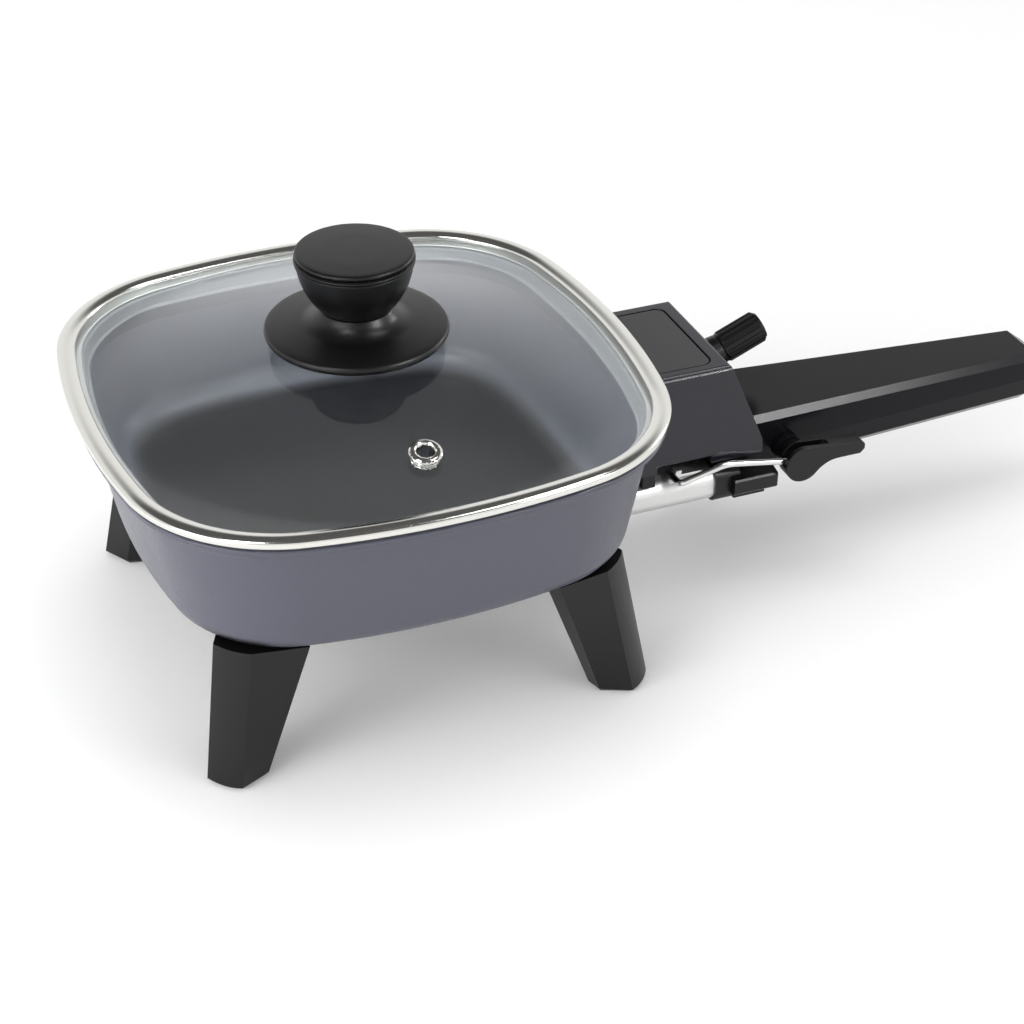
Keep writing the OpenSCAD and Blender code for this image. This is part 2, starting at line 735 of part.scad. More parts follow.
module cord_inlet() color([0.12, 0.12, 0.13]) translate([0, 0, plug_z + 4]) difference() {
    union() {
        along_x(handle_end - 6, handle_end + 3, cord_r + 1.4);
        along_x(handle_end + 0.05, handle_end + 6, cord_r + 2.2);
    }
    along_x(handle_end - 10, handle_end + 10, cord_r);
}

// ---- Latch ----

// Headed stub that the lever turns on, set in the handle's boss
module lever_pin() color("gray") translate([lever_x, 0, lever_z]) {
    along_y(pin_head, -12.5, lever_pin_r);
    along_y(pin_head, pin_head + 0.5, lever_pin_r + 0.8);
}

// The lever from the side: a round hub, a flat-topped tail and the fillet between them
module lever_side() {
    fillet = 10;
    fillet_z = -0.2 - fillet;
    fillet_x = sqrt(pow(hub_r + fillet, 2) - pow(fillet_z, 2));
    circle(hub_r);
    polygon(concat(
        [[0, 0], [hub_r * cos(84), hub_r * sin(84)], [tail_l - 0.9, 3.95], [tail_l, 3], [tail_l, 1.3],
            [tail_l - 1.5, -0.2]],
        arc(fillet_x, fillet_z, fillet, 90, atan2(-fillet_z, -fillet_x), 8)
    ));
}

// Room in the hub for the bail, over every angle that it takes there
module bail_slot() {
    r = wire_r + gap;
    a0 = wire_a - lever_turn - 3;
    a1 = wire_a + 3;
    translate([bail_x - lever_x, bail_z - lever_z]) {
        circle(r);
        polygon(concat(
            [[0, 0], [r * cos(a0 - 90), r * sin(a0 - 90)]],
            [for (i = [0:6]) let (a = a0 + (a1 - a0) * i / 6) [20 * cos(a), 20 * sin(a)]],
            [[r * cos(a1 + 90), r * sin(a1 + 90)]]
        ));
    }
}

// Teardrop lever: a hub slotted for the bail, and a thumb tail
module latch_lever() color([0.2, 0.2, 0.22]) translate([lever_x, 0, lever_z]) difference() {
    union() {
        translate([0, lever_back, 0]) rotate([90, 0, 0])
            linear_extrude(lever_back - lever_front) lever_side();
        along_y(lever_back - 0.5, pivot_y - gap, pivot_r - 0.2);
    }
    along_y(pin_head - 1, 0, lever_pin_r + run);
    along_y(wire_y, pin_head + 0.8, lever_pin_r + 0.8 + gap);
    translate([bail_x - lever_x, 0, bail_z - lever_z]) along_y(bail_end - 0.2, wire_y, wire_r + run);
    translate([0, wire_y + wire_r + gap, 0]) rotate([90, 0, 0])
        linear_extrude(2 * (wire_r + gap)) bail_slot();
}

// Short cross pin that closes the corner between two rods
module corner_pin(x, z, r) {
    translate([x, 0, z]) along_y(-r - joint_r / 2, r + joint_r / 2, r + joint_r);
}

module latch_bail() color("gainsboro") translate([0, wire_y, 0]) {
    rod_xz(bail_x, bail_z, knee_x, knee_z, wire_r);
    rod_xz(knee_x, knee_z, hook_x, hook_z, wire_r);
    corner_pin(knee_x, knee_z, wire_r);
    corner_pin(hook_x, hook_z, wire_r);
    corner_pin(bail_x, bail_z, wire_r);
    translate([hook_x, 0, hook_z]) along_y(0, hook_end - wire_y, wire_r);
    translate([bail_x, 0, bail_z]) along_y(bail_end - wire_y, 0, wire_r);
}

place() pan();
place() heating_element();
place() terminal_guard();
place() guard_screws();
place() latch_hook();
place() leg_front_left();
place() leg_front_right();
place() leg_rear_left();
place() leg_rear_right();
place() leg_screws();
place() lid_glass();
place() lid_rim();
place() steam_vent();
place() knob_gasket();
place() knob_skirt();
place() lid_knob();
place() knob_cap();
place() lid_washer();
place() lid_screw();
place() plug_shroud();
place() socket_contacts();
place() thermostat_body();
place() thermostat_probe();
place() housing_base();
place() housing_shell();
place() top_panel();
place() housing_screws();
place() dial_shaft();
place() dial_collar();
place() dial_knob();
place() handle_upper();
place() handle_lower();
place() handle_screws();
place() lead_wires();
place() cord_inlet();
place() lever_pin();
place() latch_lever();
place() latch_bail();
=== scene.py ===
"""Looks for a small electric skillet: finishes, soft edges and fine moulded detail.

Everything is in metres in the model's own frame: +X runs to the handle's end, +Z is up, and the
floor is z = 0. The pan's centre is PAN_X along X. The named sizes of pieces are in millimetres.
"""
import json
import math

import bpy
from mathutils import Euler, Matrix, Vector


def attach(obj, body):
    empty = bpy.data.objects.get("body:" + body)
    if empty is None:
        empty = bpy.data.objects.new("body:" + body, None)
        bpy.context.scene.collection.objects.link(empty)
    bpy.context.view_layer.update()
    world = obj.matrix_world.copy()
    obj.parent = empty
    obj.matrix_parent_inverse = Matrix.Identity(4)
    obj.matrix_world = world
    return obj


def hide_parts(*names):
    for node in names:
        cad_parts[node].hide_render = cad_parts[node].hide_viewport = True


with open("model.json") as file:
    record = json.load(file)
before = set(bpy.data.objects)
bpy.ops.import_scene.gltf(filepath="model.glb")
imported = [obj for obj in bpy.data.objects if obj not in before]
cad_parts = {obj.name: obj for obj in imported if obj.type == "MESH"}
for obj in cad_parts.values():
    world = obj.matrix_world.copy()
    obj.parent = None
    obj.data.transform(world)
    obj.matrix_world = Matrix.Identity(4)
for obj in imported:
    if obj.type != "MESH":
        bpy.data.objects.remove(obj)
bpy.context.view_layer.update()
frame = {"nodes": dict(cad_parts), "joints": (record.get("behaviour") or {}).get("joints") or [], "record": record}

MM = 0.001
PAN_X = -80 * MM
QUARTER_TURN = math.pi / 2
# Points closer than this are one point
WELD = 0.002 * MM

RECORD = frame["record"]
BODY_OF = {node: body for body, nodes in RECORD["behaviour"]["bodies"].items() for node in nodes}
SLOT_OF = {part["node"]: part["material_slot"] for part in RECORD["subparts"]}


# ---- Camera and lights ----

CAMERA_AT = (-254.9 * MM, -540.4 * MM, 418.4 * MM)
# Degrees about X, Y and Z
CAMERA_TURN = (56.129, -0.518, -22.196)
SENSOR_WIDTH = 36.0
LENS = 78.25

# What the large boxes light, and what the small lamps glint in
LIT_AT = (-0.04, 0, 0.05)
GLINT_AT = (0.08, 0, 0.05)

# The sweep's strength as a light, at the horizon and from 30 degrees up
HORIZON_LIGHT = 0.6
ZENITH_LIGHT = 0.75
ZENITH_FROM = 0.5
# The ceiling as polished pieces mirror it: the sine of the height where it starts to darken and
# where it is darkest, and its strength there
CEILING_FROM = 0.48
CEILING_TO = 0.7
CEILING_LIGHT = 0.1

FLOOR_SIZE = 8
# How much of the floor that the camera sees shines by itself
FLOOR_SHINE = 0.06


def place_camera():
    """A long lens above the pan's front left corner."""
    data = bpy.data.cameras.new("camera")
    data.lens = LENS
    data.sensor_width = SENSOR_WIDTH
    camera = bpy.data.objects.new("camera", data)
    bpy.context.scene.collection.objects.link(camera)
    turn = Euler([math.radians(angle) for angle in CAMERA_TURN])
    camera.matrix_world = Matrix.Translation(CAMERA_AT) @ turn.to_matrix().to_4x4()
    bpy.context.scene.camera = camera


def softbox(name, at, aim, size, power, lights=True, glints=True):
    """A rectangular studio lamp that faces a point. It can light, be mirrored, or both."""
    data = bpy.data.lights.new(name, "AREA")
    data.shape = "RECTANGLE"
    data.size, data.size_y = size
    data.energy = power
    lamp = bpy.data.objects.new(name, data)
    lamp.visible_diffuse = lights
    lamp.visible_glossy = glints
    lamp.visible_transmission = glints
    bpy.context.scene.collection.objects.link(lamp)
    facing = (Vector(aim) - Vector(at)).to_track_quat("-Z", "Y").to_matrix().to_4x4()
    lamp.matrix_world = Matrix.Translation(at) @ facing


def light_studio():
    """Boxes that light the part, and small lamps that only draw its bright edges."""
    softbox("overhead_softbox", (-0.05, 0.15, 1.3), LIT_AT, (0.6, 0.6), 3.5, glints=False)
    softbox("left_softbox", (-1.2, -0.5, 0.6), LIT_AT, (0.9, 0.8), 7)
    softbox("low_left_softbox", (-1.2, -0.15, 0.3), LIT_AT, (0.7, 0.4), 6, glints=False)
    softbox("low_front_softbox", (0.9, -1.1, 0.45), LIT_AT, (0.7, 0.5), 4, glints=False)
    softbox("edge_lamp_front", (0.73, -0.84, 0.83), GLINT_AT, (0.34, 0.09), 8, lights=False)
    softbox("edge_lamp_top", (0.5, -0.29, 1.25), GLINT_AT, (0.6, 0.15), 2.5, lights=False)
    # These two draw the soft streaks along the foot of the inner walls
    softbox("streak_lamp_right", (1.14, 0.19, 0.46), (-0.12, 0.03, 0.05), (0.25, 0.2), 2.5,
            lights=False)
    softbox("streak_lamp_left", (-0.62, -0.42, 1.03), (-0.04, 0.03, 0.05), (0.3, 0.2), 2.5,
            lights=False)


# ---- Materials ----

# Noise seldom leaves this range
NOISE_LOW = 0.3
NOISE_HIGH = 0.7
# How far apart a moulding's patches of colour are, and how far its roughness strays
DRIFT_SIZE = 18 * MM
GLOSS_DRIFT = 0.04
POLYMER_IOR = 1.5

# Mica flecks in the pan's coating: where in the noise they start and are full, and how much they
# show there
MICA_SIZE = 0.5 * MM
MICA_FROM = 0.62
MICA_TO = 0.75
MICA_SHARE = 0.25
# The coating's orange peel
PEEL_SIZE = 1.6 * MM
PEEL_DEPTH = 0.009 * MM
PEEL_SMOOTHEST = 0.31
PEEL_ROUGHEST = 0.37
# Coarser than real fibres, so that they show at all
FIBRE_SIZE = 0.8 * MM

# Light and shade painted into the pan's coating: zones of a colour, and the limits that hold it in.
# A limit says what it measures, where the colour is full and where it is gone, in millimetres. The
# outward measure is the distance from the pan's axis, less than 0 where the surface faces the axis.
PAINTED_LIGHT_ZONES = [
    # The inner walls are painted a paler grey: painted light, for the glare that they mirror
    ("#6b6e78", [("outward", -30, -8)]),
    # The band between the lid's seat and the shoulder is painted pale: a painted reflection
    ("#a3a6aa", [("outward", 4, 12), ("height", 79.3, 79.0), ("height", 84.1, 84.4)]),
    # The cooking floor inside the walls' foot is painted black: painted shade
    ("#1a1a1d", [("reach", 64, 66), ("height", 46.3, 49)]),
]


def linear(code):
    """An sRGB hex code as the linear colour that a shader takes."""
    parts = [int(code[i:i + 2], 16) / 255 for i in (1, 3, 5)]
    return (*(p / 12.92 if p <= 0.04045 else ((p + 0.055) / 1.055) ** 2.4 for p in parts), 1.0)


def add_node(tree, kind, settings=None, inputs=None):
    """Adds a shader node. An input is a value, or an output socket to link from."""
    node = tree.nodes.new("ShaderNode" + kind)
    for name, value in (settings or {}).items():
        setattr(node, name, value)
    for name, value in (inputs or {}).items():
        if isinstance(value, bpy.types.NodeSocket):
            tree.links.new(value, node.inputs[name])
        else:
            node.inputs[name].default_value = value
    return node


def new_material(name):
    """A material with one Principled node on its output: returns it, its tree and that node."""
    material = bpy.data.materials.new(name)
    material.use_nodes = True
    tree = material.node_tree
    tree.nodes.clear()
    surface = add_node(tree, "BsdfPrincipled")
    add_node(tree, "OutputMaterial", inputs={"Surface": surface.outputs[0]})
    return material, tree, surface


def uneven_skin(tree, surface, pattern, smoothest, roughest, depth):
    """Lets a pattern move the roughness between two values, and raises it by a depth in metres."""
    gloss = add_node(tree, "MapRange", inputs={
        "Value": pattern, "From Min": NOISE_LOW, "From Max": NOISE_HIGH,
        "To Min": smoothest, "To Max": roughest})
    tree.links.new(gloss.outputs[0], surface.inputs["Roughness"])
    relief = add_node(tree, "Bump", inputs={
        "Height": pattern, "Distance": depth, "Strength": 1.0})
    tree.links.new(relief.outputs[0], surface.inputs["Normal"])


def let_through(tree, surface, share, other):
    """Puts another shader in front of the surface, over a share of it or for some of its rays."""
    mix = add_node(tree, "MixShader", inputs={
        "Fac": share, 1: surface.outputs[0], 2: other.outputs[0]})
    tree.links.new(mix.outputs[0], tree.nodes["Material Output"].inputs[0])


def moulded(name, colour, tint, rough, grain, depth, shine=0.5):
    """A moulded plastic: fine spark-eroded grain, a little colour drift and uneven gloss."""
    material, tree, surface = new_material(name)
    place = add_node(tree, "TexCoord")
    drift = add_node(tree, "TexNoise", inputs={
        "Vector": place.outputs["Object"], "Scale": 1 / DRIFT_SIZE, "Detail": 2.0})
    mix = add_node(tree, "Mix", {"data_type": "RGBA"}, {
        "Factor": drift.outputs[0], "A": linear(colour), "B": linear(tint)})
    tree.links.new(mix.outputs["Result"], surface.inputs["Base Color"])
    fine = add_node(tree, "TexNoise", inputs={
        "Vector": place.outputs["Object"], "Scale": 1 / grain, "Detail": 3.0})
    uneven_skin(tree, surface, fine.outputs[0], rough - GLOSS_DRIFT, rough + GLOSS_DRIFT, depth)
    surface.inputs["IOR"].default_value = POLYMER_IOR
    surface.inputs["Specular IOR Level"].default_value = shine
    return material


def metal(name, colour, rough, stretch, depth, spread=GLOSS_DRIFT):
    """A bare metal with fine drawn lines: stretch is how many there are to a metre along each
    axis."""
    material, tree, surface = new_material(name)
    place = add_node(tree, "TexCoord")
    turned = add_node(tree, "Mapping", inputs={
        "Vector": place.outputs["Object"], "Scale": stretch})
    lines = add_node(tree, "TexNoise", inputs={
        "Vector": turned.outputs[0], "Scale": 1.0, "Detail": 3.0})
    surface.inputs["Base Color"].default_value = linear(colour)
    surface.inputs["Metallic"].default_value = 1.0
    uneven_skin(tree, surface, lines.outputs[0], rough - spread, rough + spread, depth)
    return material


def nonstick_coating():
    """Sprayed PTFE on cast aluminium: satin, with an orange-peel skin, faint mica flecks and, inside the pan,
    painted light and shade.
    """
    material, tree, surface = new_material("nonstick_ptfe_coating")
    place = add_node(tree, "TexCoord")
    flecks = add_node(tree, "TexNoise", inputs={
        "Vector": place.outputs["Object"], "Scale": 1 / MICA_SIZE, "Detail": 2.0})
    glint = add_node(tree, "MapRange", inputs={
        "Value": flecks.outputs[0], "From Min": MICA_FROM, "From Max": MICA_TO,
        "To Min": 0.0, "To Max": MICA_SHARE})
    mix = add_node(tree, "Mix", {"data_type": "RGBA"}, {
        "Factor": glint.outputs[0], "A": linear("#4c4d59"), "B": linear("#747581")})
    colour = mix.outputs["Result"]

    centred = add_node(tree, "Mapping", inputs={
        "Vector": place.outputs["Object"], "Location": (-PAN_X, 0, 0)})
    across = add_node(tree, "VectorMath", {"operation": "ABSOLUTE"}, {0: centred.outputs[0]})
    parts = add_node(tree, "SeparateXYZ", inputs={"Vector": across.outputs[0]})
    reach = add_node(tree, "Math", {"operation": "MAXIMUM"}, {
        0: parts.outputs["X"], 1: parts.outputs["Y"]})
    level = add_node(tree, "VectorMath", {"operation": "MULTIPLY"}, {
        0: centred.outputs[0], 1: (1, 1, 0)})
    shape = add_node(tree, "NewGeometry")
    outward = add_node(tree, "VectorMath", {"operation": "DOT_PRODUCT"}, {
        0: level.outputs[0], 1: shape.outputs["Normal"]})
    measures = {"outward": outward.outputs["Value"], "reach": reach.outputs[0],
                "height": parts.outputs["Z"]}
    # Paints light and shade into the colour: paler inner walls and band, and a black cooking floor
    for code, limits in PAINTED_LIGHT_ZONES:
        share = 1.0
        for measure, full, gone in limits:
            held = add_node(tree, "MapRange", inputs={
                "Value": measures[measure], "From Min": full * MM, "From Max": gone * MM,
                "To Min": 1.0, "To Max": 0.0})
            both = add_node(tree, "Math", {"operation": "MULTIPLY"}, {
                0: share, 1: held.outputs[0]})
            share = both.outputs[0]
        painted_zone = add_node(tree, "Mix", {"data_type": "RGBA"}, {
            "Factor": share, "A": colour, "B": linear(code)})
        colour = painted_zone.outputs["Result"]
    tree.links.new(colour, surface.inputs["Base Color"])

    peel = add_node(tree, "TexNoise", inputs={
        "Vector": place.outputs["Object"], "Scale": 1 / PEEL_SIZE, "Detail": 2.0})
    uneven_skin(tree, surface, peel.outputs[0], PEEL_SMOOTHEST, PEEL_ROUGHEST, PEEL_DEPTH)
    surface.inputs["IOR"].default_value = POLYMER_IOR
    return material


def lid_glass():
    """Tempered soda-lime glass: clear, with clean bright edges. Lamps shine through it. Its IOR is
    below the real 1.52, so that the dome mirrors no more of the studio than a thin pane does."""
    material, tree, surface = new_material("tempered_glass")
    surface.inputs["Base Color"].default_value = linear("#f8fafa")
    surface.inputs["Roughness"].default_value = 0.0
    surface.inputs["IOR"].default_value = 1.3
    surface.inputs["Transmission Weight"].default_value = 1.0
    path = add_node(tree, "LightPath")
    through = add_node(tree, "BsdfTransparent", inputs={"Color": linear("#f2f4f4")})
    let_through(tree, surface, path.outputs["Is Shadow Ray"], through)
    return material


def floor_paper():
    """Seamless white background paper, matt. Seen directly it's a little lighter than it's lit."""
    material, tree, surface = new_material("white_paper")
    place = add_node(tree, "TexCoord")
    fibres = add_node(tree, "TexNoise", inputs={
        "Vector": place.outputs["Object"], "Scale": 1 / FIBRE_SIZE, "Detail": 2.0})
    mix = add_node(tree, "Mix", {"data_type": "RGBA"}, {
        "Factor": fibres.outputs[0], "A": linear("#fdfdfd"), "B": linear("#fafafa")})
    tree.links.new(mix.outputs["Result"], surface.inputs["Base Color"])
    surface.inputs["Roughness"].default_value = 0.9
    surface.inputs["Specular IOR Level"].default_value = 0.1
    path = add_node(tree, "LightPath")
    share = add_node(tree, "Math", {"operation": "MULTIPLY"}, {
        0: path.outputs["Is Camera Ray"], 1: FLOOR_SHINE})
    white = add_node(tree, "Emission", inputs={"Color": linear("#ffffff"), "Strength": 1.0})
    let_through(tree, surface, share.outputs[0], white)
    return material


def make_finishes():
    """One finish for each material slot of the record."""
    return {
        "coating": nonstick_coating(),
        # Tube steel that has been red hot: dull and brown
        "element_steel": metal(
            "oxidised_steel_tube", "#6b655f", 0.4, (300, 300, 300), 0.02 * MM),
        # Pressed and nickel plated: pale and satin, with lines along the draw
        "guard_metal": metal(
            "satin_plated_steel", "#dededd", 0.48, (60, 1500, 1500), 0.003 * MM),
        # Barrel plated: grey, with a soft even sheen
        "screw_steel": metal("zinc_plated_steel", "#b9bab9", 0.32, (700, 700, 700), 0.01 * MM),
        # Rolled and buffed: nearly a mirror, so it shows the studio as bright and dark lines
        "rim_steel": metal(
            "polished_stainless_steel", "#e0dfda", 0.15, (900, 900, 900), 0.001 * MM, 0.02),
        "lid_pane": lid_glass(),
        # Pressed rubber: matt and soft
        "soft_ring": moulded(
            "silicone_rubber", "#232325", "#2a2a2c", 0.6, 0.3 * MM, 0.01 * MM),
        # Compression moulded resin: black, with a satin sheen from its filler
        "black_plastic": moulded(
            "black_phenolic", "#0b0b0c", "#0f0f10", 0.34, 0.25 * MM, 0.008 * MM, 0.34),
        # Injection moulded: near black with a plum cast, and the smoothest of the plastics
        "plum_plastic": moulded(
            "plum_black_abs", "#110f1a", "#151321", 0.24, 0.3 * MM, 0.0012 * MM),
        # Printed foil: a flat, slightly warm grey
        "panel_grey": moulded(
            "grey_foil_panel", "#2e2c2d", "#343132", 0.42, 0.2 * MM, 0.006 * MM),
        # Injection moulded nylon: black, with a low shine that keeps its facets apart
        "handle_plastic": moulded(
            "satin_black_polyamide", "#141417", "#18181b", 0.2, 0.3 * MM, 0.001 * MM, 0.1),
        # Drawn: warm yellow, with lines along it
        "contact_brass": metal("drawn_brass", "#c9a45c", 0.3, (400, 900, 900), 0.004 * MM),
        # Pressed and fired: chalky buff
        "ceramic": moulded(
            "steatite_ceramic", "#b9a58c", "#c4b29b", 0.55, 0.4 * MM, 0.02 * MM),
        # Extruded: dull brick red
        "wire_sleeve": moulded(
            "silicone_wire_sleeve", "#7a241d", "#862a22", 0.5, 0.4 * MM, 0.01 * MM),
        # Bright drawn wire: mirrors in thin lines along its length
        "wire_steel": metal(
            "bright_steel_wire", "#dcdcdb", 0.14, (60, 1200, 1200), 0.002 * MM, 0.03),
    }


# ---- Sizes of the pieces ----

# The lid's bowed-square outline, in metres: four long arcs that run into four corner arcs
HALF_ACROSS = 84 * MM
SIDE_R = 231 * MM
CORNER_R = 48 * MM
CORNER_C = 33 * MM
SIDE_C = HALF_ACROSS - SIDE_R
SIDE_ANGLE = math.atan2(CORNER_C, CORNER_C - SIDE_C)
SIDE_STEPS = 40
CORNER_STEPS = 48


def arc(centre, across, rise, start, end, steps):
    """Points of an elliptical arc in a section, between two angles in degrees."""
    angles = [math.radians(start + (end - start) * i / steps) for i in range(steps + 1)]
    return [(centre[0] + across * math.cos(a), centre[1] + rise * math.sin(a)) for a in angles]


# Sections give how far in from the lid's edge each point is, and how high. Each one closes.
# The band: a straight outer face with a rounded lower edge, under one roll
RIM_SECTION = [
    (3.15, 84.35), (2.8, 84.35), (2.8, 86.5),
    *arc((0.6, 87.15), 0.6, 0.65, 270, 180, 3),
    *arc((2.6, 88.0), 2.6, 1.4, 180, 90, 6),
    *arc((2.6, 88.0), 2.9, 1.4, 75, 15, 4),
    (5.49, 88.12), (5.5, 88.05), (3.15, 88.06),
]
# The turned-in foot that carries the glass's edge
FOOT_SECTION = [(3.14, 84.3), (3.14, 84.8), *arc((6.9, 84.55), 0.3, 0.25, 90, -90, 4)]
# The shoulder on the pan's inner wall, where its straight top ends
SHOULDER_SECTION = [
    (8.2, 79.7), *arc((9.2, 79.0), 0.44, 0.55, 90, 0, 2), (9.68, 78.4), (9.66, 77), (9.5, 75.4),
    (8.5, 77),
]

# The glass: how far in from the lid's edge it ends, its flat edge's two faces, the radius of the
# screw's hole, and the rings on each face
GLASS_INSET = 3.2
GLASS_TOP = 88.05
GLASS_UNDER = 84.85
GLASS_HOLE = 3.2
GLASS_STEPS = 46
# Its dome: the rise, where it runs out above and underneath, and the bend of its profile
DOME_RISE = 12.6
DOME_R = 79
DOME_UNDER_R = 78
DOME_POWER = 1.35
DOME_SOFTNESS = 0.05
# The steam vent's hole, square to the dome: its middle, its radius, the length of its cutter, and
# how far to each side the dome's slope is taken
VENT_Y = -57
VENT_Z = 92.72
VENT_HOLE = 3.05
VENT_CUT = 24
VENT_REACH = 2

# A leg's lowest and highest slice: height, distance of the outer face from the centre, its width,
# the reach of the plain and of the wide flank across, and the depth of the back
LEG_SLICES = [(1.4, 91.7, 11.4, 7.9, 9.1, 4.4), (42.65, 82.2, 12.2, 9.5, 19.3, 8)]
LEG_STEPS = 14
LEG_FACE_STEPS = 12
# The outer face's bulge, how deep both flanks are, how much of their reach is left at the back,
# how much narrower the foot is at the floor, and the radius of the edges
LEG_BULGE = 0.9
LEG_FLANK = 9.5
LEG_BACK_SHARE = 0.75
LEG_FOOT_CUT = 1.2
LEG_EDGE = 0.35
LEG_EDGE_ANGLE = 18
# The bores for the pan's boss, the screw and its head: start, length and radius
LEG_BORE_OUT = 72
LEG_BORES = [(36.7, 20, 5.15), (33, 6, 2.1), (1, 33, 3.9)]
# The direction that each leg faces, and -1 where its wide flank is on the other side
LEG_TURNS = {"leg_front_left": (225, 1), "leg_front_right": (315, -1),
             "leg_rear_left": (135, -1), "leg_rear_right": (45, 1)}

# The bail's wire: from its end in the lever's hub out to its side, over the knee and to the hook
BAIL_PIVOT = next(j["pos_m"] for j in frame["joints"] if j["name"] == "bail_pivot")
BAIL_END_Y = -28.1
BAIL_KNEE = (31, 44.6)
BAIL_HOOK = (15, 40.86)
BAIL_HOOK_Y = -17.4
BAIL_RADIUS = 1.1
BAIL_BENDS = [1.3, 15, 1.8]
BAIL_END_EDGE = 0.25
BAIL_END_ANGLE = 60
WIRE_SIDES = 24
BEND_STEPS = 10

# The beads under the grip's top disc: radius round the knob, and height
KNOB_BEADS = {"knob_bead_upper": (17.15, 125.25), "knob_bead_lower": (17.1, 124.35)}
BEAD_RADIUS = 0.36

# Triangles this close to level, in degrees, are one flat face
FLAT_ANGLE = 0.2
# Faces that meet at less than this many degrees are shaded as one, on each kind of piece
SMOOTH_FLATS = 30
SMOOTH_ROUNDS = 40
SMOOTH_BANDS = 50
SMOOTH_BEADS = 60
# How much a larger face pulls the shading its way, on Blender's scale from 1 to 100
LARGE_FACE_PULL = 60
BORE_SIDES = 64

# Turned and spun pieces, which need only smooth shading
ROUND_NODES = ("steam_vent", "knob_skirt", "lid_knob", "knob_cap", "dial_collar")
# The radius of other pieces' edges, and how sharp in degrees an edge is that gets it
EDGES = {
    "housing_shell": (0.45, 30), "housing_base": (0.45, 30),
    "plug_shroud": (0.6, 30), "latch_lever": (0.6, 30),
    "handle_upper": (1.1, 25), "handle_lower": (1.1, 25),
    "top_panel": (0.12, 30), "terminal_guard": (0.12, 30), "latch_hook": (0.12, 30),
    "dial_knob": (0.12, 30),
}


# ---- Pieces ----

def activate(piece):
    """Selects one piece alone."""
    for item in bpy.context.selected_objects:
        item.select_set(False)
    piece.select_set(True)
    bpy.context.view_layer.objects.active = piece


def settle(piece):
    """Moves a piece's place into its mesh."""
    activate(piece)
    bpy.ops.object.transform_apply(location=True, rotation=True, scale=True)


def smooth_skin(piece, angle):
    """Smooth shading that leaves the large faces flat."""
    activate(piece)
    bpy.ops.object.shade_smooth_by_angle(angle=math.radians(angle))
    even = piece.modifiers.new("even_normals", "WEIGHTED_NORMAL")
    even.keep_sharp = True
    even.weight = LARGE_FACE_PULL
    bpy.ops.object.modifier_apply(modifier=even.name)


def soften_edges(piece, radius, angle, segments=3):
    """Rounds the edges that are sharper than an angle."""
    activate(piece)
    soften = piece.modifiers.new("soft_edges", "BEVEL")
    soften.width = radius * MM
    soften.segments = segments
    soften.limit_method = "ANGLE"
    soften.angle_limit = math.radians(angle)
    bpy.ops.object.modifier_apply(modifier=soften.name)


def cut_bore(piece, start, length, radius, tilt=0.0):
    """Takes a round bore out of a piece. The bore runs up from its start, and tilts about X."""
    bpy.ops.mesh.primitive_cylinder_add(
        vertices=BORE_SIDES, radius=radius * MM, depth=length * MM,
        location=(start[0] * MM, start[1] * MM, (start[2] + length / 2) * MM),
        rotation=(tilt, 0, 0))
    cutter = bpy.context.active_object
    settle(cutter)
    activate(piece)
    bore = piece.modifiers.new("bore", "BOOLEAN")
    bore.operation = "DIFFERENCE"
    bore.object = cutter
    bpy.ops.object.modifier_apply(modifier=bore.name)
    bpy.data.objects.remove(cutter)


def finish_piece(piece, slot, body):
    """Gives a piece its slot's finish and the body that it rides on."""
    piece.data.materials.clear()
    piece.data.materials.append(finishes[slot])
    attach(piece, body)


def stand_for(piece, node):
    """Puts a piece in a node's place, with the node's finish and body."""
    finish_piece(piece, SLOT_OF[node], BODY_OF[node])
    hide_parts(node)


def skin_copy(node, flats):
    """A copy of a node's mesh with its loose triangles joined into one closed skin. Where it has
    flats, each becomes one face."""
    piece = bpy.data.objects.new(node + "_skin", frame["nodes"][node].data.copy())
    bpy.context.scene.collection.objects.link(piece)
    activate(piece)
    bpy.ops.object.mode_set(mode="EDIT")
    bpy.ops.mesh.select_all(action="SELECT")
    bpy.ops.mesh.remove_doubles(threshold=WELD)
    if flats:
        bpy.ops.mesh.dissolve_limited(angle_limit=math.radians(FLAT_ANGLE))
    bpy.ops.object.mode_set(mode="OBJECT")
    return piece


def dress(node, smooth, radius=0, angle=0):
    """A node's skin, with softened edges where it has a radius for them, stands for the node."""
    piece = skin_copy(node, radius > 0)
    if radius:
        soften_edges(piece, radius, angle)
    smooth_skin(piece, smooth)
    stand_for(piece, node)


def stack_rings(name, rings, closed=True):
    """A skin through rings of points: a circle, extruded once for each further ring and shaped."""
    count = len(rings[0])
    bpy.ops.mesh.primitive_circle_add(vertices=count, radius=0.1, fill_type="NOTHING")
    piece = bpy.context.active_object
    piece.name = name
    settle(piece)
    bpy.ops.object.mode_set(mode="EDIT")
    bpy.ops.mesh.select_all(action="SELECT")
    for _ in rings[1:]:
        bpy.ops.mesh.extrude_region_move(TRANSFORM_OT_translate={"value": (0, 0, MM)})
    bpy.ops.object.mode_set(mode="OBJECT")
    for index, vertex in enumerate(piece.data.vertices):
        vertex.co = rings[index // count][index % count]
    bpy.ops.object.mode_set(mode="EDIT")
    bpy.ops.mesh.select_all(action="SELECT")
    bpy.ops.mesh.remove_doubles(threshold=WELD)
    if not closed:
        bpy.ops.mesh.select_all(action="DESELECT")
        bpy.ops.mesh.select_non_manifold()
        bpy.ops.mesh.fill_holes(sides=0)
        bpy.ops.mesh.select_all(action="SELECT")
    bpy.ops.mesh.normals_make_consistent(inside=False)
    bpy.ops.object.mode_set(mode="OBJECT")
    return piece


